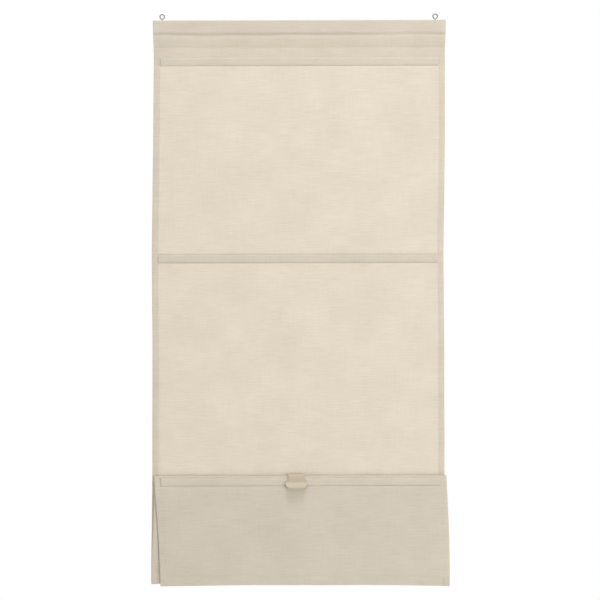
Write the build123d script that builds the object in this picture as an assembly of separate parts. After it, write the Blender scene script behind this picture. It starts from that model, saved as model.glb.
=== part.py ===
from build123d import *
import math
import os

# A cordless roman blind, hung by two screw eyes and raised by one fold.
# Millimetres. X runs across the blind, Y towards the wall, Z up. The origin is
# midway between the centres of the two screw-eye rings, where the blind hangs.
# A level is a distance down from the header edge of the cloth.

# ---------------------------------------------------------------- cloth
cloth_width = 600.0
cloth_t = 0.6
top_hem = 94.5              # cloth turned to the back at the header
bottom_hem = 20.0
side_hem = 12.5
soft_gap = 0.3              # room between the cloth and what it lies against
bend_r = 0.9                # small bends of the cloth
turn_share = 0.49           # radius of a full turn, as a share of the gap that it spans

# ---------------------------------------------------------------- header batten
batten_height = 22.0
batten_depth = 10.0
batten_end_gap = 1.5        # from each end of the batten to the edge of the cloth
batten_edge_r = 1.0
batten_seam = 55.0          # level of the seam that closes the batten's pocket

# ---------------------------------------------------------------- screw eyes
eye_inset = 20.0            # from each eye to the edge of the cloth
eye_wire_d = 2.2
eye_outer_d = 11.5
eye_stand = 8.9             # ring centre above the header edge
eye_grip = 15.0             # length of the shank in the batten
eye_point = 4.0             # tapered end, part of that length
eye_point_d = 0.6
eye_neck_d = 4.4            # widest part of the neck under the ring
eye_neck_h = 2.6
eye_wood_fit = 0.05         # radial room round the shank in the batten
eye_cloth_fit = 0.3         # radial room round the shank in the cloth

# ---------------------------------------------------------------- slats and their pockets
slat_height = 13.0
slat_depth = 2.0
slat_end_gap = 3.5          # from each end of a centred slat to the side hem
slat_edge_r = 0.9
slat_levels = [84.0, 488.0, 945.0]      # the three slats of the hanging panel
slat_shifts = [1.0, -2.5, -2.0, 1.0]    # how far each slat lies off centre along X
pocket_height = 17.0        # between the two seams of a pocket
pocket_slope = 1.6          # height over which the cloth steps out round the slat
tape_t = 0.4
tape_margin = 2.0           # tape beyond each seam
tape_end_gap = 1.0          # from each end of a tape to the side hem

# ---------------------------------------------------------------- fold and flap
loop_length = 452.0         # cloth from slat 3 to slat 4, which hangs as a loop
flap_length = 213.5         # cloth from slat 4 to the bottom edge
fold_rise = 5.3             # top of the fold above the upper seam of its pocket
fold_gap = 3.0              # across the outside of the cloth at the top of the fold

# ---------------------------------------------------------------- fold clip
clip_x = -7.5
clip_t = 1.8
clip_width = 33.0
clip_gap = 0.3              # between the clip and the cloth
clip_jaw_t = 1.5            # the two short jaws round the pocket of slat 3
clip_jaw_room = 1.0         # from the tip of a jaw to the hanging panel
clip_shoulder = 2.8         # slope of the arch down to the front leg
clip_crease = 1.0           # level of the crease below the middle of the slat
clip_lip_width = 44.0
clip_lip_above = 3.6        # height of the lip's wings above the crease
clip_lip_drop = 11.5        # height of the lip below the crease
clip_lip_out = 12.5         # how far the lip stands out from the front leg
clip_lip_tip = 2.5          # the last stretch of the lip, which turns up a little
clip_lip_corner = 12.0
clip_wing_r = 1.5
clip_soft_r = 3.0           # easy bends of the clip's section
clip_edge_r = 0.5           # tight bends, and how far the tip of the lip turns up

# ---------------------------------------------------------------- derived places
half_w = cloth_width / 2
step = slat_depth + 2 * soft_gap            # how far the cloth steps out round a slat
y_wall = -cloth_t                           # front face of the hanging panel
y_step = y_wall - step                      # front face of its pockets
y_web = y_step - clip_gap                   # rear face of the clip's web
y_rise = y_web - clip_t - clip_gap          # face of the layer that rises to the fold
y_flap = y_rise - fold_gap                  # front face of the flap
y_leg = y_flap - step - clip_gap            # rear face of the clip's front leg
y_case = batten_depth / 2 + soft_gap        # inside of the batten's pocket

clip_level = slat_levels[2]                 # the clip holds slat 4 in front of slat 3
seams = [(level - pocket_height / 2, level + pocket_height / 2) for level in slat_levels]
fold_level = seams[2][0] - fold_rise
loop_gap = y_wall - y_rise
turn_saving = (math.pi - 2) * (loop_gap + fold_gap) / 2
loop_level = fold_level + (loop_length - turn_saving) / 2
flap_level = clip_level + flap_length
slat_length = cloth_width - 2 * (side_hem + slat_end_gap)
eye_xs = [eye_inset - half_w, half_w - eye_inset]


def z_at(level):
    """Height of a level."""
    return -eye_stand - level


def save(shape, name):
    """Writes one node."""
    shape.label = name
    export_step(shape, "parts/" + name + ".step")


def block(x_range, y_range, z_range):
    """A box between two planes each way."""
    size = [max(r) - min(r) for r in (x_range, y_range, z_range)]
    middle = [(max(r) + min(r)) / 2 for r in (x_range, y_range, z_range)]
    return Pos(*middle) * Box(*size)


def across(section, x_low, x_high):
    """Turns a section drawn in Y and Z into a solid between two places along X."""
    plane = Plane(origin=(x_low, 0, 0), x_dir=(0, 1, 0), z_dir=(1, 0, 0))
    return extrude(plane * section, amount=x_high - x_low)


# ---------------------------------------------------------------- sections
def ribbon(line, depth):
    """Section of an even thickness to the left of a line of (y, z, bend radius or 0)."""
    points = [Vector(y, z) for y, z, r in line]
    runs = [(b - a).normalized() for a, b in zip(points, points[1:])]
    sides = [Vector(-run.Y, run.X) for run in runs]
    moved = [points[0] + sides[0] * depth]
    radii = []
    moved_radii = []
    for place in range(1, len(points) - 1):
        before, after = sides[place - 1], sides[place]
        moved.append(points[place] + (before + after) * (depth / (1 + before.dot(after))))
        radius = line[place][2]
        change = -depth if before.cross(after).Z > 0 else depth
        radii.append(radius)
        moved_radii.append(radius + change if radius else 0)
    moved.append(points[-1] + sides[-1] * depth)
    edges = FilletPolyline(*points, radius=radii).edges()
    edges += FilletPolyline(*moved, radius=moved_radii).edges()
    edges += [Line(points[0], moved[0]).edge(), Line(points[-1], moved[-1]).edge()]
    return make_face(edges)


def pocket_outline(y_face, seam_pair):
    """The face of the cloth where it steps out round a slat."""
    upper, lower = seam_pair
    return [
        (y_face, z_at(upper), 0),
        (y_face - step, z_at(upper + pocket_slope), bend_r),
        (y_face - step, z_at(lower - pocket_slope), bend_r),
        (y_face, z_at(lower), 0),
    ]


def panel_line(stepped):
    """The face of the cloth from the batten's seam down to the bottom edge."""
    loop_r = turn_share * loop_gap
    fold_r = turn_share * fold_gap
    line = [(y_wall, z_at(batten_seam), 0)]
    for seam_pair in seams if stepped else []:
        line += pocket_outline(y_wall, seam_pair)
    line += [(y_wall, z_at(loop_level), loop_r), (y_rise, z_at(loop_level), loop_r)]
    line += [(y_rise, z_at(fold_level), fold_r), (y_flap, z_at(fold_level), fold_r)]
    line += pocket_outline(y_flap, seams[2]) if stepped else []
    line += [(y_flap, z_at(flap_level), 0)]
    return line


def header_lines():
    """The face of the cloth round the batten, in two lines that meet on the batten's front."""
    y_front = -y_case - cloth_t
    under = z_at(batten_height + 2 * soft_gap + cloth_t)
    corner_r = batten_edge_r + soft_gap + cloth_t
    meeting = (y_front, (z_at(0) + under) / 2, 0)
    hem = [(cloth_t, z_at(top_hem), 0), (cloth_t, z_at(batten_seam), 0)]
    back = [(-y_front, under, bend_r), (-y_front, z_at(0), corner_r)]
    over = hem + back + [(y_front, z_at(0), corner_r), meeting]
    down = [meeting, (y_front, under, bend_r)]
    return over, down


def pocket_room(y_face, seam_pair):
    """Section of the room that a slat's pocket encloses, back to the pocket's rear wall."""
    points = [(y + cloth_t, z) for y, z, r in pocket_outline(y_face, seam_pair)]
    return make_face(Polyline(*points, close=True).edges())


def make_cloth():
    """One hemmed sheet: the hanging panel, the loop, the fold and the flap."""
    over, down = header_lines()
    header = ribbon(over, cloth_t)
    stepped = header + ribbon(down + panel_line(True), cloth_t)
    straight = header + ribbon(down + panel_line(False), cloth_t)
    under_header = Pos(0, z_at(top_hem) / 2) * Rectangle(4 * y_case, -z_at(top_hem))
    hemmed = straight + (ribbon(panel_line(False), 2 * cloth_t) - under_header)
    rooms = Sketch() + [pocket_room(y_wall, pair) for pair in seams]
    rooms += pocket_room(y_flap, seams[2])
    closed = stepped + rooms
    inner = half_w - side_hem
    cloth = across(stepped, cloth_t - inner, inner - cloth_t)
    for side in (-1, 1):
        cloth += across(closed, *sorted((side * (inner - cloth_t), side * inner)))
        cloth += across(hemmed, *sorted((side * inner, side * half_w)))
    hem_y = (y_flap + cloth_t, y_flap + 2 * cloth_t)
    hem_z = (z_at(flap_level), z_at(flap_level - bottom_hem))
    cloth += block((-half_w, half_w), hem_y, hem_z)
    hole_r = eye_wire_d / 2 + eye_cloth_fit
    for x in eye_xs:
        cloth -= Pos(x, 0, z_at(0)) * Cylinder(hole_r, 4 * cloth_t)
    return cloth


# ---------------------------------------------------------------- header
def make_batten():
    """Softened wooden bar, bored for the two shanks."""
    top = z_at(cloth_t + soft_gap)
    length = cloth_width - 2 * batten_end_gap
    bar = Pos(0, 0, top - batten_height / 2) * Box(length, batten_depth, batten_height)
    bar = fillet(bar.edges().filter_by(Axis.X), batten_edge_r)
    bore_r = eye_wire_d / 2 + eye_wood_fit
    for x in eye_xs:
        bar -= Pos(x, 0, top - eye_grip / 2) * Cylinder(bore_r, eye_grip)
    return bar


def make_eye(x):
    """Round wire: a ring, a short neck and a pointed shank."""
    wire_r = eye_wire_d / 2
    ring_r = eye_outer_d / 2 - wire_r
    tip = z_at(cloth_t + soft_gap + eye_grip)
    ring = Rot(90, 0, 0) * Torus(ring_r, wire_r)
    shank = Pos(0, 0, (tip + eye_point - ring_r) / 2) * Cylinder(wire_r, -ring_r - tip - eye_point)
    point = Pos(0, 0, tip + eye_point / 2) * Cone(eye_point_d / 2, wire_r, eye_point)
    neck = Pos(0, 0, -ring_r - eye_neck_h / 2) * Cone(wire_r, eye_neck_d / 2, eye_neck_h)
    neck &= Box(eye_neck_d, eye_wire_d, 2 * eye_outer_d)
    neck -= Rot(90, 0, 0) * Cylinder(ring_r, eye_wire_d)
    return Pos(x, 0, 0) * (ring + neck + shank + point)


# ---------------------------------------------------------------- slats and tapes
def make_slat(y_face, level, shift):
    """Flat bar with softened edges, lying in its pocket."""
    y_mid = y_face + cloth_t - soft_gap - slat_depth / 2
    bar = Pos(shift, y_mid, z_at(level)) * Box(slat_length, slat_depth, slat_height)
    return fillet(bar.edges().filter_by(Axis.X), slat_edge_r)


def make_tape(y_face, level):
    """Woven tape sewn to the back of the cloth, the rear wall of a pocket."""
    half_l = half_w - side_hem - tape_end_gap
    half_h = pocket_height / 2 + tape_margin
    y_low = y_face + cloth_t
    z_range = (z_at(level + half_h), z_at(level - half_h))
    return block((-half_l, half_l), (y_low, y_low + tape_t), z_range)


# ---------------------------------------------------------------- fold clip
def lip_outline():
    """The lip as seen from the front, with wings wider than the band above it."""
    top = z_at(clip_level + clip_crease - clip_lip_above)
    bottom = z_at(clip_level + clip_crease + clip_lip_drop)
    middle = Pos(clip_x, (top + bottom) / 2)
    shape = middle * Rectangle(clip_lip_width, top - bottom)
    low = shape.vertices().group_by(Axis.Y)[0]
    shape = fillet(low, clip_lip_corner)
    return fillet(shape.vertices().group_by(Axis.Y)[-1], clip_wing_r)


def make_clip():
    """Moulded spring clip: short jaws grip the rear pocket, an arch goes over the fold."""
    z_arch = z_at(fold_level) + clip_gap
    z_crease = z_at(clip_level + clip_crease)
    z_jaws = [z_at(seams[2][0]) + clip_gap, z_at(seams[2][1]) - clip_gap]
    y_web_front = y_web - clip_t
    lip_low = z_crease - clip_lip_drop
    inside = [
        (y_leg - clip_lip_out, lip_low + clip_edge_r, 0),
        (y_leg - clip_lip_out + clip_lip_tip, lip_low, clip_soft_r),
        (y_leg, z_crease, clip_soft_r),
        (y_leg, z_arch - clip_shoulder, clip_edge_r),
        (y_leg + clip_shoulder, z_arch, clip_edge_r),
        (y_web_front, z_arch, clip_edge_r),
        (y_web_front, z_jaws[1] - clip_jaw_t, 0),
    ]
    section = ribbon(inside, clip_t)
    body = across(section, clip_x - clip_lip_width / 2, clip_x + clip_lip_width / 2)
    front = y_leg - clip_lip_out - 2 * clip_t
    band_x = (clip_x - clip_width / 2, clip_x + clip_width / 2)
    rear_band = block(band_x, (y_leg, y_wall), (lip_low, z_arch + 2 * clip_t))
    front_band = block(band_x, (front, y_leg), (z_crease, z_arch + 2 * clip_t))
    lip = Pos(0, y_leg, 0) * extrude(Plane.XZ * lip_outline(), amount=y_leg - front)
    body &= rear_band + front_band + lip
    for z, way in zip(z_jaws, (1, -1)):
        body += block(band_x, (y_web, y_wall - clip_jaw_room), (z, z + way * clip_jaw_t))
    return body


# ---------------------------------------------------------------- nodes
os.makedirs("parts", exist_ok=True)
save(make_cloth(), "blind_cloth")
save(make_batten(), "header_batten")
for side_name, x in zip(("left", "right"), eye_xs):
    save(make_eye(x), "screw_eye_" + side_name)
slat_places = [(y_wall, level) for level in slat_levels] + [(y_flap, clip_level)]
for number, (place, shift) in enumerate(zip(slat_places, slat_shifts), 1):
    save(make_slat(*place, shift), "slat_" + str(number))
for number, place in enumerate(slat_places[1:], 2):
    save(make_tape(*place), "pocket_tape_" + str(number))
save(make_clip(), "fold_clip")
print("loop level", loop_level, "flap level", flap_level)
print("finished length", clip_level + loop_length + flap_length)
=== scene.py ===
import math
import bpy
import numpy as np
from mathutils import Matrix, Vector


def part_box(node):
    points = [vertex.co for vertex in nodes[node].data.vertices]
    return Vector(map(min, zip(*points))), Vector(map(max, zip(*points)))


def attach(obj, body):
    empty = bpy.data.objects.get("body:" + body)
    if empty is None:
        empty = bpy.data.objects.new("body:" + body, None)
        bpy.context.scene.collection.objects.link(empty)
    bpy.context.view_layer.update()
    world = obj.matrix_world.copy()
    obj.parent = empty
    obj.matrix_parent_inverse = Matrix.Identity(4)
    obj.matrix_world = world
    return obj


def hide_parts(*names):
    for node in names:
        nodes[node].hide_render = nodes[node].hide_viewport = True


# A cordless roman blind, hung by two screw eyes and raised by one fold.
# Metres, in the frame's own axes: X across, Y towards the wall, Z up.
# A level is a distance down from the top edge of the cloth.
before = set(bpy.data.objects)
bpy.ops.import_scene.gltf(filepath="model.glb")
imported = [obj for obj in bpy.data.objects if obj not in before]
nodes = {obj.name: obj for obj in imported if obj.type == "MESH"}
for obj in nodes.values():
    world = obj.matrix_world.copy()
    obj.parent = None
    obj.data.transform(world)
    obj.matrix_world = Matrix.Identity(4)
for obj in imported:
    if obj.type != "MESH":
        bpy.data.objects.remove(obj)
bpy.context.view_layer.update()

# ---------------------------------------------------------------- the frame's own places
cloth_low, cloth_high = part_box("blind_cloth")
batten_low, batten_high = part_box("header_batten")
slats = [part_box("slat_" + str(number)) for number in (1, 2, 3, 4)]
half_w = cloth_high.x
clip_low, clip_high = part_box("fold_clip")
clip_x = (clip_low.x + clip_high.x) / 2
z_zero = cloth_high.z                       # level 0

# ---------------------------------------------------------------- the cloth and its hems
CLOTH_T = 0.00055
LAYER = 0.00062                             # from one layer to the next where they lie together
SIDE_HEM = 0.0125
TOP_HEM = 0.0945                            # level of the raw edge of the hem behind the header
BOTTOM_HEM = 0.020
HEM_STACK = 0.00205                         # from the panel back to the hem behind the header
SEAM_IN = 0.0015                            # from a raw edge or a fold to the seam beside it
HEM_PINCH = 0.0004                          # how far the bottom hem's seam draws it in
SIDE_PINCH = 0.00022                        # how far a side hem's seam draws in each of its two layers
RIPPLE = 0.00055                            # slow unevenness of the whole sheet

# ---------------------------------------------------------------- round the batten
BATTEN_SEAM = 0.055                         # level of the seam that closes the batten's pocket
BATTEN_ROOM = 0.00118                       # from the batten to the middle of the cloth, hems included
BATTEN_CORNER = 0.0016                      # bend of the cloth over the batten's upper edges
BATTEN_HANG = 0.001                         # how much further than that room it hangs straight below
BATTEN_TUCK = 0.0023                        # how far the cloth draws in under the batten
SEAM_PINCH = 0.0006                         # how far the batten's seam draws the face of the cloth in

# ---------------------------------------------------------------- at the slats
POCKET_HALF = 0.0085                        # from the middle of a slat to each seam of its pocket
POCKET_STEP = 0.00170                       # how far the cloth stands out over the middle of a slat
POCKET_SHAPE = 7                            # a high power gives a square shoulder, here above the slat
POCKET_SLACK = 5                            # and a rounder one below it
POCKET_END = 0.0011                         # how soon a pocket closes where it meets a side hem
PANEL_SWELL = 0.0008                        # how far the panel stands forward between its pockets
SEAM_SPREAD = 0.0035                        # how soon the panel regains its swell beside a seam
TAPE_T = 0.0004
TAPE_GAP = 0.0001                           # from the cloth to the tape sewn behind it

# ---------------------------------------------------------------- the fold, the flap and the loop
FOLD_RISE = 0.0041                          # top of the fold above the upper seam of its pocket
RISE_ROOM = 0.0024                          # from the back of the flap's slat to the layer behind it
LOOP_RISE = 0.0050                          # how much higher the loop hangs than the flap
FLAP_WAVE = 0.0030                          # how far the lower edge of the flap waves forward
FLAP_LIFT = 0.0008                          # how far its whole lower edge rises as it hangs
MIDDLE_LIFT = 0.0022                        # and how much further its middle does
JAW_PRESS = 0.0006                          # how far the clip's jaws push the panel back

# ---------------------------------------------------------------- how far the sheet hangs askew
# Each pair is a level, and there the sheet's place off centre or the narrowing of each half.
DRIFT = [(0, 0.0013), (0.09, 0.0011), (0.25, 0.0), (0.48, -0.0035), (0.66, -0.0024),
         (0.93, -0.0030), (1.16, -0.0056)]
NARROWING = [(0, 0.0002), (0.03, 0.0005), (0.07, 0.0018), (0.11, 0.0016), (0.24, 0.0010),
             (0.66, 0.0010), (1.16, 0.0)]
RISE_DRIFT = 0.0011                         # the layer behind the flap, off centre at the fold
FOLD_DRIFT = 0.0004                         # the flap, off centre at the fold
FLAP_DRIFT = 0.0093                         # and how much further at its lower edge
FOLD_NARROWING = 0.0008                     # of each half of the layer behind, and of the flap at the fold
FLAP_NARROWING = 0.0038                     # how much narrower still each half of the flap gets below

# ---------------------------------------------------------------- how far apart the mesh's rows lie
FREE_STEP = 0.010                           # where the cloth hangs free
PANEL_STEP = 0.012                          # in the middle of a stretch between two seams
SEAM_STEP = 0.0015                          # beside a seam
SEAM_REACH = 0.012                          # and how far from it
FACE_STEP = 0.002                           # on the batten's two faces, and at the top of the fold
TOP_STEP = 0.003                            # on the batten's top, and behind it down to its seam
HEM_STEP = 0.005                            # in the layer of a hem that lies behind
BOTTOM_STEP = 0.0018                        # over the bottom hem
BOTTOM_REACH = 0.006                        # and how far above it

# ---------------------------------------------------------------- places worked out from these
y_panel = (slats[0][0].y + slats[0][1].y) / 2   # the seams of a pocket lie level with its slat's middle
y_flap = (slats[3][0].y + slats[3][1].y) / 2
y_rise = slats[3][1].y + RISE_ROOM
fold_depth = y_rise - y_flap                # between the middles of the two layers of the fold
loop_depth = y_panel - y_rise               # between the middles of the two layers of the loop
pocket_levels = [z_zero - (low.z + high.z) / 2 for low, high in slats]
upper_seams = [level - POCKET_HALF for level in pocket_levels]
lower_seams = [level + POCKET_HALF for level in pocket_levels]
batten_level = z_zero - batten_low.z        # the underside of the batten
fold_level = upper_seams[3] - FOLD_RISE
flap_level = z_zero - cloth_low.z
loop_level = flap_level - LOOP_RISE
hem_line = half_w - SIDE_HEM                # flat distance from the middle to the side hem's raw edge


def smooth(value):
    """Eases from 0 to 1."""
    t = np.clip(value, 0, 1)
    return t * t * (3 - 2 * t)


def near(distance, spread, power=2):
    """1 at a place, falling to 0 with the distance from it."""
    return np.exp(-np.abs(distance / spread) ** power)


def ripple(x, level, seed, wave, count=9):
    """Slow, uneven waves between about -1 and 1, longer across the blind than down it."""
    shortest, longest = 0.6, 1.9            # wave lengths, as shares of the one given
    tilt, stretch = 0.7, 1.6                # how much their directions vary, and how much longer across
    whole_turn = 6.28
    random = np.random.default_rng(seed)
    total = np.zeros(np.broadcast(x, level).shape)
    for _ in range(count):
        length = wave * random.uniform(shortest, longest)
        angle = random.normal(0.5 * math.pi, tilt)
        across, down = math.cos(angle) / (stretch * length), math.sin(angle) / length
        total += np.sin(2 * math.pi * (across * x + down * level) + random.uniform(0, whole_turn))
    return total / math.sqrt(count)


# ---------------------------------------------------------------- the section, row by row
class Rows:
    """The middle of the cloth from the hem's raw edge to the bottom hem, as rows across the sheet."""

    def __init__(self):
        self.y, self.z, self.flat_y, self.side, self.zone = [], [], [], [], []

    def add(self, y, z, zone, side, flat_y=None):
        """One row, with the side that its hems lie on, and the y that it would have with no slat."""
        self.y.append(y)
        self.z.append(z)
        self.flat_y.append(y if flat_y is None else flat_y)
        self.side.append(side)
        self.zone.append(zone)

    def run(self, start, end, step, zone):
        """A straight stretch, whose hems lie to the left of the way along it."""
        (y0, z0), (y1, z1) = start, end
        length = math.hypot(y1 - y0, z1 - z0)
        side = (-(z1 - z0) / length, (y1 - y0) / length)
        count = max(1, round(length / step))
        for k in range(count):
            t = (k + 0.5) / count
            self.add(y0 + (y1 - y0) * t, z0 + (z1 - z0) * t, zone, side)

    def turn(self, centre, radius, start, end, count, zone):
        """A bend, from one angle to another in degrees, with 0 along +Y and 90 along +Z."""
        way = 1 if end > start else -1
        for k in range(count + 1):
            a = math.radians(start + (end - start) * k / count)
            side = (-way * math.cos(a), -way * math.sin(a))
            self.add(centre[0] + radius * math.cos(a), centre[1] + radius * math.sin(a), zone, side)

    def between_seams(self, y, upper, lower, zone):
        """A hanging stretch between two seams, with its rows close together beside each seam."""
        reach = min(SEAM_REACH, (lower - upper) / 3)
        for first, last, step in ((upper, upper + reach, SEAM_STEP),
                                  (upper + reach, lower - reach, PANEL_STEP),
                                  (lower - reach, lower, SEAM_STEP)):
            self.run((y, z_zero - first), (y, z_zero - last), step, zone)

    def pocket(self, y, level, zone, count=20):
        """The cloth over a slat, from the upper seam to the lower."""
        for k in range(count + 1):
            d = -POCKET_HALF * math.cos(math.pi * k / count)
            power = POCKET_SHAPE if d < 0 else POCKET_SLACK
            out = POCKET_STEP * (1 - abs(d / POCKET_HALF) ** power)
            self.add(y - out, z_zero - level - d, zone, (1, 0), y)


HEM, BACK, HEADER, PANEL, LOOP, RISE, FOLD, FLAP, TURN = range(9)


def header_rows(rows):
    """From the raw edge behind the header up, over the batten and down to its seam."""
    y_out = batten_high.y + BATTEN_ROOM
    y_in = y_out - BATTEN_CORNER
    y_hem = y_panel + HEM_STACK
    top = batten_high.z + BATTEN_ROOM
    shoulder = top - BATTEN_CORNER
    under = batten_low.z - BATTEN_ROOM - BATTEN_HANG
    seam_z = z_zero - BATTEN_SEAM
    rows.run((y_hem, z_zero - TOP_HEM), (y_hem, seam_z), HEM_STEP, HEM)
    rows.run((y_hem, seam_z), (y_out, under), TOP_STEP, BACK)
    rows.run((y_out, under), (y_out, shoulder), FACE_STEP, BACK)
    rows.turn((y_in, shoulder), BATTEN_CORNER, 0, 90, 6, HEADER)
    rows.run((y_in, top), (-y_in, top), TOP_STEP, HEADER)
    rows.turn((-y_in, shoulder), BATTEN_CORNER, 90, 180, 6, HEADER)
    rows.run((-y_out, shoulder), (-y_out, under), FACE_STEP, HEADER)
    rows.run((-y_out, under), (y_panel, seam_z), FACE_STEP, HEADER)


def panel_rows(rows):
    """From the batten's seam down over three slats to the end of the close rows below the third."""
    last = BATTEN_SEAM
    for level, upper, lower in list(zip(pocket_levels, upper_seams, lower_seams))[:3]:
        rows.between_seams(y_panel, last, upper, PANEL)
        rows.pocket(y_panel, level, PANEL)
        last = lower
    rows.run((y_panel, z_zero - last), (y_panel, z_zero - last - SEAM_REACH), SEAM_STEP, PANEL)


def loop_rows(rows):
    """Down to the loop's lower edge, up behind the flap, over the fold and down to the fourth slat."""
    loop_r = loop_depth / 2
    loop_z = z_zero - loop_level + loop_r
    fold_r = fold_depth / 2
    fold_z = z_zero - fold_level - fold_r
    rows.run((y_panel, z_zero - lower_seams[2] - SEAM_REACH), (y_panel, loop_z), FREE_STEP, PANEL)
    rows.turn((y_panel - loop_r, loop_z), loop_r, 0, -180, 12, LOOP)
    rows.run((y_rise, loop_z), (y_rise, fold_z), FREE_STEP, RISE)
    rows.turn((y_rise - fold_r, fold_z), fold_r, 0, 180, 10, FOLD)
    rows.run((y_flap, fold_z), (y_flap, z_zero - upper_seams[3]), FACE_STEP, FLAP)


def flap_rows(rows):
    """Over the fourth slat, down to the bottom edge, and the hem turned up behind it."""
    turn_r = LAYER / 2
    below = z_zero - lower_seams[3]
    bottom = z_zero - flap_level + turn_r
    hem_top = bottom + BOTTOM_HEM
    rows.pocket(y_flap, pocket_levels[3], FLAP)
    rows.run((y_flap, below), (y_flap, below - SEAM_REACH), SEAM_STEP, FLAP)
    rows.run((y_flap, below - SEAM_REACH), (y_flap, hem_top + BOTTOM_REACH), FREE_STEP, FLAP)
    rows.run((y_flap, hem_top + BOTTOM_REACH), (y_flap, bottom), BOTTOM_STEP, FLAP)
    rows.turn((y_flap + turn_r, bottom), turn_r, 180, 360, 6, TURN)
    rows.run((y_flap + LAYER, bottom), (y_flap + LAYER, hem_top), HEM_STEP, TURN)


def section():
    """All rows of the sheet, in the order in which the cloth runs."""
    rows = Rows()
    header_rows(rows)
    panel_rows(rows)
    loop_rows(rows)
    flap_rows(rows)
    return rows


# ---------------------------------------------------------------- how the sheet hangs
def below_fold(level, start=0.0):
    """From 0 at the fold, or a start below it, to 1 at the flap's lower edge."""
    return np.clip((level - fold_level - start) / (flap_level - fold_level - start), 0, 1)


def place_across(level, zone):
    """The middle and the half width of the sheet at a level: it hangs a little askew."""
    drift = np.interp(level, *zip(*DRIFT))
    half = half_w - np.interp(level, *zip(*NARROWING))
    t = below_fold(level)
    fold_half = half_w - FOLD_NARROWING
    flap_half = fold_half - FLAP_NARROWING * t
    rise_mid = RISE_DRIFT + (drift - RISE_DRIFT) * smooth(t)
    flap_mid = FOLD_DRIFT + FLAP_DRIFT * np.sin(0.5 * math.pi * t)
    on_rise = (zone == RISE) | (zone == LOOP)
    on_flap = (zone == FLAP) | (zone == TURN) | (zone == FOLD)
    middle = np.where(on_flap, flap_mid, np.where(on_rise, rise_mid, drift))
    width = np.where(on_flap, flap_half, np.where(on_rise, fold_half, half))
    return middle, width


def swell(level, upper, lower):
    """How far a stretch of cloth stands forward between the seams at its two ends."""
    above, below = np.clip(level - upper, 0, 1), np.clip(lower - level, 0, 1)
    return PANEL_SWELL * (1 - np.exp(-above / SEAM_SPREAD)) * (1 - np.exp(-below / SEAM_SPREAD))


def unevenness(x, level):
    """Slow ripples of the whole sheet, which die out at the header and beside the panel's slats."""
    header_end, header_fade, slat_fade = 0.045, 0.09, 0.050
    long_wave, short_wave, short_share = 0.19, 0.07, 0.35
    calm = smooth((level - header_end) / header_fade)
    for slat_level in pocket_levels[:3]:
        calm = calm * (1 - near(level - slat_level, slat_fade))
    waves = ripple(x, level, 11, long_wave) + short_share * ripple(x, level, 12, short_wave)
    return RIPPLE * calm * waves


def flap_hang(x, level):
    """How the flap stands forward: its swell, its waves, its curled corners and its hem's seam."""
    stiff = 0.03                            # down from the fold, where it doesn't wave yet
    wave_length, wave_start, wander, wander_rate = 0.33, 0.035, 1.1, 5
    left_share, left_reach = 0.45, 0.25
    left_curl, left_spread = 0.45, 0.020
    right_curl, right_spread = 0.5, 0.030
    hem_level = flap_level - BOTTOM_HEM + SEAM_IN
    hem_spread = 0.0022
    past_edge = 0.05                        # the free edge doesn't hold the swell back
    phase = 2 * math.pi * (x + wave_start) / wave_length + wander * np.sin(wander_rate * x)
    waves = 0.5 + 0.5 * np.sin(phase)
    weaker = left_share + (1 - left_share) * smooth((x + half_w) / left_reach)
    curl_right = right_curl * np.exp(-(half_w - x) / right_spread)
    curl_left = left_curl * np.exp(-(half_w + x) / left_spread)
    curl = curl_right - curl_left
    out = FLAP_WAVE * smooth(below_fold(level, stiff)) * (waves * weaker + curl)
    out += swell(level, lower_seams[3], flap_level + past_edge)
    return out - HEM_PINCH * near(level - hem_level, hem_spread, 1.5)


def batten_tuck(x, level):
    """How far the cloth draws in under the batten, at a depth and a level that vary along it."""
    drop, drop_change, drop_wave = 0.0058, 0.0017, 0.09
    share, share_change, share_wave, most = 0.75, 0.35, 0.10, 1.2
    spread = 0.0055
    start, ease = 0.0016, 0.0035            # down from the batten's underside
    tuck_level = batten_level + drop + drop_change * ripple(x, 0 * level, 6, drop_wave)
    along_it = share + share_change * ripple(x, 0 * level, 5, share_wave)
    drawn = np.clip(near(level - tuck_level, spread) * along_it, 0, most)
    return BATTEN_TUCK * drawn * smooth((level - batten_level - start) / ease)


def forward(x, level, zone):
    """How far the sheet stands forward of its straight section. The clip's jaws press it back."""
    jaw_reach_x, jaw_reach_z = 0.028, 0.018
    press_start, press_ease = -0.0004, 0.0010       # from a seam of the third slat's pocket
    seam_spread = 0.003
    from_slat = level - pocket_levels[2]
    pressed = near(x - clip_x, jaw_reach_x, 4) * near(from_slat, jaw_reach_z, 4)
    outside = smooth((np.abs(from_slat) - POCKET_HALF - press_start) / press_ease)
    out = unevenness(x, level) - np.where(zone == PANEL, JAW_PRESS * pressed * outside, 0)
    for upper, lower in zip(lower_seams[:3], upper_seams[1:3] + [flap_level]):
        out += swell(level, upper, lower) * (1 - pressed)
    out -= np.where(zone > BACK, SEAM_PINCH * near(level - BATTEN_SEAM, seam_spread, 1), 0)
    out += np.where((zone == FLAP) | (zone == TURN), flap_hang(x, level), 0)
    tuck = batten_tuck(x, level)
    return out + np.where(zone == HEADER, -tuck, np.where(zone == BACK, tuck, 0))


def lift(x, level, zone):
    """How far the flap's lower edge rises: its middle hangs a little shorter than its corners."""
    t = below_fold(level)
    raised = FLAP_LIFT * t + MIDDLE_LIFT * t * t * (1 - (x / half_w) ** 2)
    return np.where((zone == FLAP) | (zone == TURN), raised, 0.0)


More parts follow.
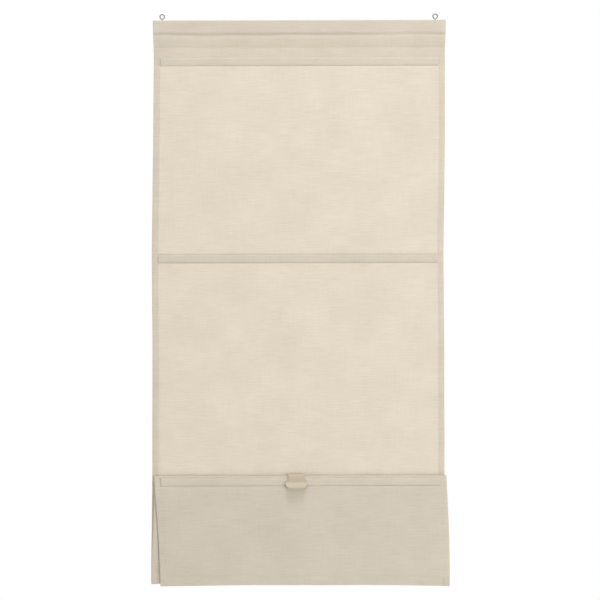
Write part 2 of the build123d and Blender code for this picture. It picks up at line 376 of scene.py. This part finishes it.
# ---------------------------------------------------------------- the sheet's grid
FACE_COLUMNS = 66                           # spread evenly over the face
EVEN_ROOM = 0.008                           # from those to the side hem's raw edge
RAW_COLUMNS = 9                             # close together over that edge
RAW_REACH = (-0.0018, 0.0036)               # from the first to the last of those, from the edge
OUTER_COLUMNS = 3                           # the rest, out to the sheet's folded side
OUTER_ROOM = 0.0065                         # from the raw edge to the first of those
EDGE_COLUMNS = 4                            # round the folded side
HEM_COLUMNS = 4                             # and over the layer turned back


def columns():
    """For each column: its flat place across, its turn round the side, and its way into the hem."""
    close = hem_line + np.linspace(*RAW_REACH, RAW_COLUMNS)
    outer = np.linspace(hem_line + OUTER_ROOM, half_w, OUTER_COLUMNS)
    even = np.linspace(-1, 1, FACE_COLUMNS) * (hem_line - EVEN_ROOM)
    places = np.concatenate([-outer[::-1], -close[::-1], even, close, outer])
    face = [(place, 0.0, 0.0) for place in places]
    edge = [(half_w, math.pi * k / EDGE_COLUMNS, 0.0) for k in range(1, EDGE_COLUMNS)]
    hem = [(half_w, math.pi, k / HEM_COLUMNS) for k in range(HEM_COLUMNS + 1)]
    side = edge + hem
    left = [(-place, turn, way) for place, turn, way in reversed(side)]
    return np.array(left + face + side)


def sheet_grid():
    """Every point of the middle of the sheet, and its flat place, as arrays of rows by columns."""
    rows = section()
    y, z, flat_y = (np.array(v)[:, None] for v in (rows.y, rows.z, rows.flat_y))
    side = np.array(rows.side)
    zone = np.array(rows.zone)[:, None]
    place, turn, way = columns().T
    level = z_zero - z
    middle, width = place_across(level, zone)
    bulge = LAYER / 2
    side_seam = hem_line + SEAM_IN
    pinch_spread = 0.0011
    x_edge = place / half_w * (width - bulge)
    x = middle + x_edge + np.sign(place) * (bulge * np.sin(turn) - way * (SIDE_HEM - bulge))
    open_share = smooth((hem_line - np.abs(place)) / POCKET_END)
    face_y = flat_y + (y - flat_y) * open_share
    hem_y = flat_y + side[:, :1] * LAYER
    hem_z = z + side[:, 1:] * LAYER
    blend = 0.5 - 0.5 * np.cos(turn)
    drawn = SIDE_PINCH * near(np.abs(place) - side_seam, pinch_spread) * np.cos(turn)
    out = forward(x, np.broadcast_to(level, x.shape), zone)
    grid_y = face_y + (hem_y - face_y) * blend - out + side[:, :1] * drawn
    grid_z = z + (hem_z - z) * blend + lift(x, level, zone)
    grid = np.stack([x, grid_y, grid_z], axis=2)
    along = np.concatenate([[0], np.cumsum(np.hypot(np.diff(y[:, 0]), np.diff(z[:, 0])))])
    flat_x = place + np.sign(place) * way * SIDE_HEM
    return grid, along, flat_x, rows


def sheet_mesh(name, grid, along, flat_x):
    """A grid of quads, with the flat cloth's own coordinates in metres as its UV map."""
    count_r, count_c = grid.shape[:2]
    index = np.arange(count_r * count_c).reshape(count_r, count_c)
    corners = [index[:-1, :-1], index[1:, :-1], index[1:, 1:], index[:-1, 1:]]
    quads = np.stack(corners, axis=2).reshape(-1, 4)
    mesh = bpy.data.meshes.new(name)
    mesh.from_pydata(grid.reshape(-1, 3).tolist(), [], quads.tolist())
    flat = np.stack(np.broadcast_arrays(flat_x[None, :], along[:, None]), axis=2).reshape(-1, 2)
    uv = mesh.uv_layers.new(name="cloth")
    uv.data.foreach_set("uv", flat[quads.ravel()].astype(np.float32).ravel())
    return smoothed(mesh)


def smoothed(mesh):
    """The same mesh, shaded smooth."""
    mesh.polygons.foreach_set("use_smooth", np.ones(len(mesh.polygons), bool))
    return mesh


def new_piece(name, mesh, material):
    """A piece of the object that rides on its one body."""
    piece = bpy.data.objects.new(name, mesh)
    bpy.context.scene.collection.objects.link(piece)
    piece.data.materials.append(material)
    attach(piece, "root")
    return piece


def thicken(piece, thickness):
    """Gives a sheet its thickness, half on each side of its middle."""
    solid = piece.modifiers.new("thickness", "SOLIDIFY")
    solid.thickness = thickness
    solid.offset = 0
    solid.use_even_offset = False


# ---------------------------------------------------------------- shader helpers
class Shader:
    """Builds a node material step by step."""

    def __init__(self, name):
        self.material = bpy.data.materials.new(name)
        self.material.use_nodes = True
        self.tree = self.material.node_tree
        self.tree.nodes.clear()
        self.out = self.node("ShaderNodeOutputMaterial")

    def node(self, kind, **sockets):
        """A node with its inputs set: _0 is the first input, and Base_Color is Base Color."""
        made = self.tree.nodes.new(kind)
        for key, value in sockets.items():
            self.put(made, key, value)
        return made

    def put(self, node, key, value):
        """Sets one input to a value, or links it to another node's output."""
        place = int(key[1:]) if key[0] == "_" and key[1:].isdigit() else key.replace("_", " ")
        socket = node.inputs[place]
        if isinstance(value, bpy.types.NodeSocket):
            self.tree.links.new(value, socket)
        else:
            socket.default_value = value

    def maths(self, operation, first, second=0.0, clamp=False):
        node = self.node("ShaderNodeMath", _0=first, _1=second)
        node.operation = operation
        node.use_clamp = clamp
        return node.outputs[0]

    def scaled_sum(self, first, scale, added):
        """first times scale, plus added."""
        node = self.node("ShaderNodeMath", _0=first, _1=scale, _2=added)
        node.operation = "MULTIPLY_ADD"
        return node.outputs[0]

    def about_middle(self, value, gain, middle):
        """A value between 0 and 1, stretched by a gain and moved from 0.5 to another middle."""
        return self.scaled_sum(self.maths("SUBTRACT", value, 0.5), gain, middle)

    def scaled(self, vector, scale, shift=(0, 0, 0)):
        return self.node("ShaderNodeMapping", Vector=vector, Location=shift, Scale=scale).outputs[0]

    def noise(self, vector, scale, detail=2.0, roughness=0.5):
        return self.node("ShaderNodeTexNoise", Vector=vector, Scale=scale, Detail=detail,
                         Roughness=roughness).outputs["Fac"]

    def mixed(self, share, first, second):
        """A colour between two others, through a Mix node's own places for its share and its colours."""
        share_place, first_place, second_place, result_place = 0, 6, 7, 2
        node = self.tree.nodes.new("ShaderNodeMix")
        node.data_type = "RGBA"
        self.tree.links.new(share, node.inputs[share_place])
        node.inputs[first_place].default_value = (*first, 1)
        node.inputs[second_place].default_value = (*second, 1)
        return node.outputs[result_place]

    def bump(self, height, distance, strength):
        return self.node("ShaderNodeBump", Height=height, Distance=distance,
                         Strength=strength).outputs[0]

    def own_place(self):
        """The object's own coordinates."""
        return self.node("ShaderNodeTexCoord").outputs["Object"]

    def finish(self, shader):
        self.tree.links.new(shader, self.out.inputs["Surface"])
        return self.material


def woven(name, dark, light, pitch, through, slub=1.0):
    """Plain-woven cloth: threads over and under, slubs along both ways, and light that comes through."""
    stray = 2.2                             # how far a thread wanders, in radians of its pitch
    weft_share, short_share, warp_share = 0.45, 0.32, 0.23
    slub_gain, cloud_gain, thread_gain = 2.3 * slub, 0.7, 0.10
    slub_height, thread_height = 1.6, 0.7
    s = Shader(name)
    place = s.node("ShaderNodeUVMap")
    place.uv_map = "cloth"
    flat = place.outputs[0]
    parts = s.node("ShaderNodeSeparateXYZ", Vector=flat)
    turns = math.pi / pitch
    wander = s.noise(flat, 90.0, detail=1.0)
    drift = s.maths("MULTIPLY", s.maths("SUBTRACT", wander, 0.5), stray)
    warp = s.maths("SINE", s.maths("ADD", s.maths("MULTIPLY", parts.outputs[0], turns), drift))
    weft = s.maths("SINE", s.maths("ADD", s.maths("MULTIPLY", parts.outputs[1], turns), drift))
    cross = s.scaled_sum(s.maths("MULTIPLY", warp, weft), 0.5, 0.5)
    weft_long = s.noise(s.scaled(flat, (19, 560, 1)), 1.0, detail=3.0, roughness=0.6)
    weft_short = s.noise(s.scaled(flat, (47, 910, 1), shift=(5, 2, 0)), 1.0)
    warp_long = s.noise(s.scaled(flat, (640, 16, 1), shift=(3, 7, 0)), 1.0, detail=3.0, roughness=0.6)
    cloud = s.noise(flat, 11.0, detail=4.0, roughness=0.6)
    short_and_warp = s.scaled_sum(weft_short, short_share, s.maths("MULTIPLY", warp_long, warp_share))
    slubs = s.scaled_sum(weft_long, weft_share, short_and_warp)
    streaks = s.about_middle(slubs, slub_gain, 0.5)
    tone = s.about_middle(cloud, cloud_gain, streaks)
    threads = s.about_middle(cross, thread_gain, tone)
    colour = s.mixed(s.maths("ADD", threads, 0.0, clamp=True), dark, light)
    height = s.scaled_sum(slubs, slub_height, s.maths("MULTIPLY", cross, thread_height))
    normal = s.bump(height, distance=0.00022, strength=0.55)
    face = s.node("ShaderNodeBsdfPrincipled", Base_Color=colour, Normal=normal, Roughness=0.92,
                  Specular_IOR_Level=0.18, Sheen_Weight=0.10, Sheen_Roughness=0.6)
    glow = s.node("ShaderNodeBsdfTranslucent", Color=colour, Normal=normal)
    both = s.node("ShaderNodeMixShader", _0=through, _1=face.outputs[0], _2=glow.outputs[0])
    return s.finish(both.outputs[0])


def spun(name, dark, light):
    """Sewing thread: fine twisted fibre with a slight sheen."""
    s = Shader(name)
    place = s.own_place()
    fibre = s.noise(place, 3800.0, roughness=0.6)
    uneven = s.maths("MULTIPLY", s.noise(place, 60.0), 0.3)
    colour = s.mixed(s.scaled_sum(fibre, 0.7, uneven), dark, light)
    normal = s.bump(fibre, distance=0.00005, strength=0.6)
    thread = s.node("ShaderNodeBsdfPrincipled", Base_Color=colour, Normal=normal, Roughness=0.72,
                    Sheen_Weight=0.2)
    return s.finish(thread.outputs[0])


def wooden(name, dark, light, ring):
    """Planed wood with its grain along X, and rings on the ends."""
    s = Shader(name)
    place = s.own_place()
    long_grain = s.noise(s.scaled(place, (3.0, 260, 260)), 1.0, detail=4.0, roughness=0.6)
    bend = s.noise(s.scaled(place, (2.2, 20, 20)), 1.0, detail=1.0)
    rings = s.node("ShaderNodeTexWave", Vector=s.scaled(place, (0.9, 1, 1)), Scale=ring,
                   Distortion=5.0, Detail=2.0, Detail_Scale=1.2)
    rings.wave_type = "RINGS"
    rings.rings_direction = "X"
    bent_rings = s.maths("MULTIPLY", rings.outputs["Fac"], s.maths("MULTIPLY", bend, 0.9))
    blend = s.scaled_sum(long_grain, 0.55, bent_rings)
    colour = s.mixed(s.maths("ADD", blend, -0.02, clamp=True), dark, light)
    normal = s.bump(long_grain, distance=0.00012, strength=0.5)
    rough = s.scaled_sum(long_grain, 0.25, 0.48)
    wood = s.node("ShaderNodeBsdfPrincipled", Base_Color=colour, Roughness=rough, Normal=normal)
    return s.finish(wood.outputs[0])


def zinc(name, dark, light):
    """Bright zinc plate on steel wire, a little brushed and dull in places."""
    s = Shader(name)
    spots = s.noise(s.own_place(), 900.0, detail=3.0, roughness=0.6)
    colour = s.mixed(spots, dark, light)
    rough = s.scaled_sum(spots, 0.25, 0.30)
    normal = s.bump(spots, distance=0.00004, strength=0.4)
    plate = s.node("ShaderNodeBsdfPrincipled", Base_Color=colour, Roughness=rough, Normal=normal,
                   Metallic=1.0)
    return s.finish(plate.outputs[0])


def moulded(name, dark, light):
    """Satin moulded plastic with a fine spark-eroded texture."""
    s = Shader(name)
    place = s.own_place()
    grain = s.noise(place, 2600.0, roughness=0.55)
    colour = s.mixed(s.noise(place, 60.0), dark, light)
    rough = s.scaled_sum(grain, 0.16, 0.34)
    normal = s.bump(grain, distance=0.00003, strength=0.5)
    body = s.node("ShaderNodeBsdfPrincipled", Base_Color=colour, Roughness=rough, Normal=normal,
                  Specular_IOR_Level=0.45)
    return s.finish(body.outputs[0])


# ---------------------------------------------------------------- materials
cloth_material = woven("natural_cloth", dark=(0.770, 0.712, 0.604), light=(0.905, 0.857, 0.758),
                       pitch=0.00058, through=0.46)
tape_material = woven("woven_tape", dark=(0.80, 0.755, 0.625), light=(0.90, 0.865, 0.74),
                      pitch=0.0004, through=0.30, slub=0.5)
thread_material = spun("sewing_thread", dark=(0.66, 0.60, 0.50), light=(0.80, 0.74, 0.63))
pine = wooden("planed_pine", dark=(0.40, 0.235, 0.105), light=(0.80, 0.585, 0.345), ring=95.0)
pale_wood = wooden("pale_wood", dark=(0.68, 0.55, 0.38), light=(0.90, 0.80, 0.62), ring=160.0)
plastic = moulded("clip_plastic", dark=(0.445, 0.385, 0.278), light=(0.490, 0.425, 0.310))
steel = zinc("zinc_steel", dark=(0.16, 0.165, 0.18), light=(0.36, 0.365, 0.385))

# ---------------------------------------------------------------- make the sheet
grid, along, flat_x, rows = sheet_grid()
blind_mesh = sheet_mesh("blind_sheet", grid, along, flat_x)
blind = new_piece("blind_sheet", blind_mesh, cloth_material)
thicken(blind, CLOTH_T)
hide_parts("blind_cloth")


# ---------------------------------------------------------------- tapes behind the pockets
TAPE_END = 0.001                            # how much shorter each end is than the CAD's
TAPE_ROWS, TAPE_COLUMNS = 19, 120
TAPE_EDGE = 0.00006                         # how far its firm edges stand off the cloth
TAPE_SAG = 0.00015                          # how far it gives way over the slat


def make_tape(number, zone):
    """Narrow woven tape sewn behind a pocket, with firm edges and slight waves."""
    low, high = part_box("pocket_tape_" + str(number))
    height, thickness = high.z - low.z, high.y - low.y
    edge_width, wave, wave_share = 0.03, 0.06, 0.6
    across = np.linspace(low.x + TAPE_END, high.x - TAPE_END, TAPE_COLUMNS)[None, :]
    shares = 0.5 - 0.5 * np.cos(math.pi * np.linspace(0, 1, TAPE_ROWS))[:, None]
    z = high.z - height * shares + 0 * across
    level = z_zero - z
    zones = np.full(level.shape, zone)
    drift, _ = place_across(level, zones)
    x = across + drift
    edge = np.exp(-np.minimum(shares, 1 - shares) / edge_width)
    plane = (y_flap if zone == FLAP else y_panel) + (CLOTH_T + thickness) / 2 + TAPE_GAP
    from_slat = np.abs(z - (low.z + high.z) / 2) / POCKET_HALF
    bulge = np.clip(1 - from_slat ** POCKET_SHAPE, 0, 1)
    sag = TAPE_SAG * bulge * (1 + wave_share * ripple(x, level, 20 + number, wave))
    y = plane + ((low.y + high.y) / 2 - plane) * bulge + TAPE_EDGE * edge + sag
    y = y - forward(x, level, zones)
    mesh = sheet_mesh("tape", np.stack([x, y, z], axis=2), height * shares[:, 0], across[0])
    tape = new_piece("pocket_tape_" + str(number) + "_woven", mesh, tape_material)
    thicken(tape, thickness)
    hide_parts("pocket_tape_" + str(number))
    return tape


tapes = [make_tape(2, PANEL), make_tape(3, PANEL), make_tape(4, FLAP)]


# ---------------------------------------------------------------- the CAD nodes that stay
def dress(name, material, round_off=0.0):
    """A CAD node keeps its shape, with a finish and, where moulded, softened edges."""
    node = nodes[name]
    node.data.materials.clear()
    node.data.materials.append(material)
    if round_off:
        weld = node.modifiers.new("weld", "WELD")
        weld.merge_threshold = 1e-6
        bevel = node.modifiers.new("edges", "BEVEL")
        bevel.width = round_off
        bevel.segments = 3
        bevel.limit_method = "ANGLE"
        bevel.angle_limit = math.radians(40)
        bevel.harden_normals = False


dress("header_batten", pine)
for number in (1, 2, 3, 4):
    dress("slat_" + str(number), pale_wood)
dress("fold_clip", plastic, round_off=0.0004)

# ---------------------------------------------------------------- screw eyes
WIRE_SIDES = 20
RING_FROM, RING_TO = -77, 238               # the ring's two ends, in degrees from +X towards +Z
RING_POINTS, BEND_POINTS, SHANK_POINTS = 72, 11, 149
NECK_DROP = 1.3                             # from the ring down to the shank's top, in wire radii
BEND_OUT, BEND_IN = 0.0042, 0.0030          # how strongly the neck follows the ring and the shank
THREAD_PITCH = 0.0010
THREAD_DEPTH = 0.00028
THREAD_SHAPE = 1.5                          # a power, which gives the thread its sharp crests
THREAD_START = 0.0005                       # below the batten's top
THREAD_EASE = 0.0012                        # over which it reaches its full depth
SHANK_SLIM = 0.10                           # how much thinner the shank is than the ring's wire
POINT_LENGTH = 0.0040
POINT_TIP = 0.08                            # how thin the point starts, before the power below
POINT_SHAPE = 0.7


def tube_mesh(name, line, radii):
    """A closed tube round a line in a plane square to Y, with a radius for each point and side."""
    ahead = np.gradient(line, axis=0)
    ahead /= np.linalg.norm(ahead, axis=1, keepdims=True)
    side = np.cross(ahead, (0, 1, 0))
    angles = 2 * math.pi * np.arange(WIRE_SIDES) / WIRE_SIDES
    across, back = np.cos(angles)[:, None], np.sin(angles)[:, None]
    ring = side[:, None] * across + np.array([0, 1, 0]) * back
    points = (line[:, None] + radii[:, :, None] * ring).reshape(-1, 3)
    index = np.arange(len(points)).reshape(len(line), WIRE_SIDES)
    around = np.roll(index, -1, axis=1)
    quads = np.stack([index[:-1], index[1:], around[1:], around[:-1]], axis=2).reshape(-1, 4)
    ends = [index[0].tolist(), index[-1][::-1].tolist()]
    mesh = bpy.data.meshes.new(name)
    mesh.from_pydata(points.tolist(), [], quads.tolist() + ends)
    return smoothed(mesh)


def eye_line(way, stretch, ring_r, wire_r, tip_z):
    """The wire's middle: round the ring, in to the neck and down the shank."""
    angles = np.radians(np.linspace(RING_FROM, RING_TO, RING_POINTS))
    pull = 1 + stretch * np.clip(-np.sin(angles), 0, 1) ** 2
    ring_x, ring_z = way * ring_r * np.cos(angles), ring_r * pull * np.sin(angles)
    ring = np.stack([ring_x, 0 * angles, ring_z], axis=1)
    neck_z = -ring_r * (1 + stretch) - NECK_DROP * wire_r
    last_way = ring[-1] - ring[-2]
    out = last_way / np.linalg.norm(last_way) * BEND_OUT
    neck, down = np.array([0, 0, neck_z]), np.array([0, 0, -BEND_IN])
    t = np.linspace(0, 1, BEND_POINTS + 1)[1:, None]
    from_ring = (2 * t ** 3 - 3 * t ** 2 + 1) * ring[-1] + (t ** 3 - 2 * t ** 2 + t) * out
    to_neck = (3 * t ** 2 - 2 * t ** 3) * neck + (t ** 3 - t ** 2) * down
    z = np.linspace(neck_z, tip_z, SHANK_POINTS + 1)[1:]
    shank = np.stack([0 * z, 0 * z, z], axis=1)
    return np.concatenate([ring, from_ring + to_neck, shank])


def make_eye(side_name, way, stretch):
    """Steel wire bent into a ring that closes on its own neck, and a threaded, pointed shank below."""
    low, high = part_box("screw_eye_" + side_name)
    centre_x = (low.x + high.x) / 2
    wire_r = (high.y - low.y) / 2
    line = eye_line(way, stretch, high.x - centre_x - wire_r, wire_r, low.z)
    place = np.arange(len(line))[:, None]
    z = line[:, 2:]
    turn = (z / THREAD_PITCH + np.arange(WIRE_SIDES) / WIRE_SIDES) % 1
    groove = THREAD_DEPTH * np.abs(2 * turn - 1) ** THREAD_SHAPE
    cut = smooth((batten_high.z - THREAD_START - z) / THREAD_EASE) * (place > RING_POINTS)
    body = wire_r * (1 - SHANK_SLIM * (place >= RING_POINTS + BEND_POINTS))
    point = np.clip((z - low.z) / POINT_LENGTH, POINT_TIP, 1) ** POINT_SHAPE
    radii = (body - groove * cut) * point
    mesh = tube_mesh("eye", line + np.array([centre_x, 0, 0]), radii)
    eye = new_piece("screw_eye_" + side_name + "_wire", mesh, steel)
    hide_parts("screw_eye_" + side_name)


make_eye("left", way=1, stretch=0.04)
make_eye("right", way=-1, stretch=0.16)

# ---------------------------------------------------------------- stitching
STITCH = 0.0023                             # from where a stitch comes up to where it goes down
STITCH_PITCH = 0.0030                       # from one stitch to the next
THREAD_R = 0.00017                          # radius of the sewing thread
THREAD_OUT = 0.4 * THREAD_R                 # from the cloth's face to the middle of the thread
STITCH_SINK = 0.55                          # height of a stitch's ends, as a share of its middle's
STITCH_THIRDS = (0.22, 0.78)                # its two full-width places along it
SEAM_OUT = 0.0004                           # from the foot of a pocket to the stitches beside it
SEAM_END = 0.002                            # from the end of a seam across to the sheet's edge
SIDE_SEAM_END = 0.003                       # and of a seam down a side


class Sheet:
    """The sheet's middle, to be asked for a place and its directions by flat coordinates."""

    def __init__(self):
        self.zone = np.array(rows.zone)
        self.z = np.array(rows.z)
        across, down = np.gradient(grid, axis=1), np.gradient(grid, axis=0)
        out = np.cross(down, across)
        self.out = out / np.linalg.norm(out, axis=2, keepdims=True)

    def along_at(self, zone, z):
        """How far along the cloth a height lies, in one zone."""
        chosen = np.where(self.zone == zone)[0]
        order = chosen[np.argsort(self.z[chosen])]
        return float(np.interp(z, self.z[order], along[order]))

    def blend(self, values, x, way):
        """The values of the grid, or of its directions, at flat places across and along the cloth."""
        inside = 1.001                      # keeps the last place within the last cell
        row = np.clip(np.interp(way, along, np.arange(len(along))), 0, len(along) - inside)
        column = np.clip(np.interp(x, flat_x, np.arange(len(flat_x))), 0, len(flat_x) - inside)
        r, c = row.astype(int), column.astype(int)
        fr, fc = (row - r)[:, None], (column - c)[:, None]
        upper = values[r, c] * (1 - fc) + values[r, c + 1] * fc
        lower = values[r + 1, c] * (1 - fc) + values[r + 1, c + 1] * fc
        return upper * (1 - fr) + lower * fr


def stitches(sheet, x, way, across, above):
    """Spindles of thread at flat places. above: how far they lie from the middle, + on the face."""
    step_x, step_way = (STITCH / 2, 0) if across else (0, STITCH / 2)
    first = sheet.blend(grid, x - step_x, way - step_way)
    last = sheet.blend(grid, x + step_x, way + step_way)
    out = sheet.blend(sheet.out, x, way)
    ahead = (last - first) / np.linalg.norm(last - first, axis=1, keepdims=True)
    side = np.cross(ahead, out) * THREAD_R
    up = np.sign(above) * out * THREAD_R
    base = out * above
    at_third = [first * (1 - t) + last * t + base for t in STITCH_THIRDS]
    points = [first + base * STITCH_SINK]
    points += [place + turn for place in at_third for turn in (side, up, -side, -up)]
    points += [last + base * STITCH_SINK]
    return np.stack(points, axis=1)


def stitch_faces(count):
    """Faces of all the spindles: one end, four sides between two rings, and the other end."""
    one = [(0, 1 + k, 1 + (k + 1) % 4) for k in range(4)]
    one += [(9, 5 + (k + 1) % 4, 5 + k) for k in range(4)]
    four = [(1 + k, 5 + k, 5 + (k + 1) % 4, 1 + (k + 1) % 4) for k in range(4)]
    return [tuple(10 * n + v for v in face) for n in range(count) for face in one + four]


def seam_lines(sheet):
    """Each seam across the blind: how far along the cloth it lies, and how far from its middle.

    The pocket of slat 1 has the header's hem behind it. The others have a tape.
    """
    face = CLOTH_T / 2 + THREAD_OUT
    tape_back = -CLOTH_T / 2 - TAPE_GAP - TAPE_T - THREAD_OUT
    seam_z = z_zero - BATTEN_SEAM
    raw_edge = z_zero - TOP_HEM + SEAM_IN
    hem_seam = z_zero - flap_level + BOTTOM_HEM - SEAM_IN
    ways = [sheet.along_at(HEADER, seam_z), sheet.along_at(HEM, seam_z), along[0] + SEAM_IN,
            sheet.along_at(PANEL, raw_edge), sheet.along_at(FLAP, hem_seam), along[-1] - SEAM_IN]
    lines = [(way, face) for way in ways]
    for slat, (upper, lower) in enumerate(zip(upper_seams, lower_seams), 1):
        zone = FLAP if slat == 4 else PANEL
        rear_zone, rear = (HEM, face) if slat == 1 else (zone, tape_back)
        for z in (z_zero - upper + SEAM_OUT, z_zero - lower - SEAM_OUT):
            lines.append((sheet.along_at(zone, z), face))
            lines.append((sheet.along_at(rear_zone, z), rear))
    return lines


def make_stitching():
    """Every seam of the blind: header, hems and slat pockets, seen on both sides of the cloth."""
    sheet = Sheet()
    parts = []
    for way, above in seam_lines(sheet):
        reach = (half_w if above > 0 else hem_line) - SEAM_END
        x = np.arange(-reach, reach, STITCH_PITCH)
        parts.append(stitches(sheet, x, np.full(len(x), way), True, above))
    ways = np.arange(SIDE_SEAM_END, along[-1] - SIDE_SEAM_END, STITCH_PITCH)
    for x in (hem_line + SEAM_IN, half_w + SIDE_HEM - SEAM_IN):
        for sign in (-1, 1):
            places = np.full(len(ways), sign * x)
            parts.append(stitches(sheet, places, ways, False, CLOTH_T / 2 + THREAD_OUT))
    points = np.concatenate(parts)
    mesh = bpy.data.meshes.new("stitching")
    mesh.from_pydata(points.reshape(-1, 3).tolist(), [], stitch_faces(len(points)))
    return new_piece("stitching", smoothed(mesh), thread_material)


stitching = make_stitching()

# ---------------------------------------------------------------- stage
VIEW_CENTRE = Vector((0.0012, 0, -0.5818))
CAMERA_DISTANCE = 3.01
CAMERA_LENS, CAMERA_SENSOR = 88.0, 36.0     # millimetres
CAMERA_ROLL = 0.15                          # degrees
FLOOR_LOW, FLOOR_HIGH = Vector((-1.8, -2.0, -1.45)), Vector((1.8, 1.2, -1.45))


def make_camera():
    """Straight ahead at the height of the blind's middle."""
    camera = bpy.data.objects.new("camera", bpy.data.cameras.new("camera"))
    bpy.context.scene.collection.objects.link(camera)
    camera.data.lens = CAMERA_LENS
    camera.data.sensor_width = CAMERA_SENSOR
    camera.location = VIEW_CENTRE - Vector((0, CAMERA_DISTANCE, 0))
    camera.rotation_euler = (math.radians(90), math.radians(CAMERA_ROLL), 0)
    bpy.context.scene.camera = camera
    bpy.context.scene.view_settings.view_transform = "Standard"


def area_light(name, place, target, size, watts, colour):
    """A round soft light, turned towards its target."""
    light = bpy.data.objects.new(name, bpy.data.lights.new(name, "AREA"))
    bpy.context.scene.collection.objects.link(light)
    light.data.shape = "DISK"
    light.data.size = size
    light.data.energy = watts
    light.data.color = colour
    light.location = place
    light.rotation_euler = (Vector(target) - Vector(place)).to_track_quat("-Z", "Y").to_euler()


def make_world(seen_strength, lit_strength):
    """White behind the object, and softer as a light."""
    world = bpy.data.worlds.new("studio")
    bpy.context.scene.world = world
    world.use_nodes = True
    tree = world.node_tree
    tree.nodes.clear()
    out = tree.nodes.new("ShaderNodeOutputWorld")
    path = tree.nodes.new("ShaderNodeLightPath")
    seen = tree.nodes.new("ShaderNodeBackground")
    lit = tree.nodes.new("ShaderNodeBackground")
    mix = tree.nodes.new("ShaderNodeMixShader")
    for background, strength in ((seen, seen_strength), (lit, lit_strength)):
        background.inputs["Color"].default_value = (1, 1, 1, 1)
        background.inputs["Strength"].default_value = strength
    tree.links.new(path.outputs["Is Camera Ray"], mix.inputs[0])
    tree.links.new(lit.outputs[0], mix.inputs[1])
    tree.links.new(seen.outputs[0], mix.inputs[2])
    tree.links.new(mix.outputs[0], out.inputs["Surface"])


def make_floor():
    """A pale floor well below the blind, with slight unevenness."""
    low, high = FLOOR_LOW, FLOOR_HIGH
    corners = [(low.x, low.y, low.z), (high.x, low.y, low.z), (high.x, high.y, low.z),
               (low.x, high.y, low.z)]
    mesh = bpy.data.meshes.new("floor")
    mesh.from_pydata(corners, [], [(0, 1, 2, 3)])
    floor = bpy.data.objects.new("floor", mesh)
    bpy.context.scene.collection.objects.link(floor)
    s = Shader("pale_floor")
    patches = s.noise(s.own_place(), 3.0, detail=3.0)
    colour = s.mixed(patches, (0.84, 0.84, 0.83), (0.88, 0.88, 0.87))
    paint = s.node("ShaderNodeBsdfPrincipled", Base_Color=colour, Roughness=0.8)
    mesh.materials.append(s.finish(paint.outputs[0]))


make_camera()
area_light("key", (0.18, -1.35, 2.2), (0, 0, -0.60), size=0.9, watts=43, colour=(1.0, 0.985, 0.975))
area_light("front", (1.9, -2.9, -0.9), (0, 0, -0.60), size=1.8, watts=50, colour=(1.0, 0.985, 0.985))
area_light("back", (-0.9, 2.6, 0.3), (0, 0, -0.55), size=1.8, watts=13, colour=(1.0, 0.99, 0.985))
make_world(seen_strength=1.0, lit_strength=0.60)
make_floor()
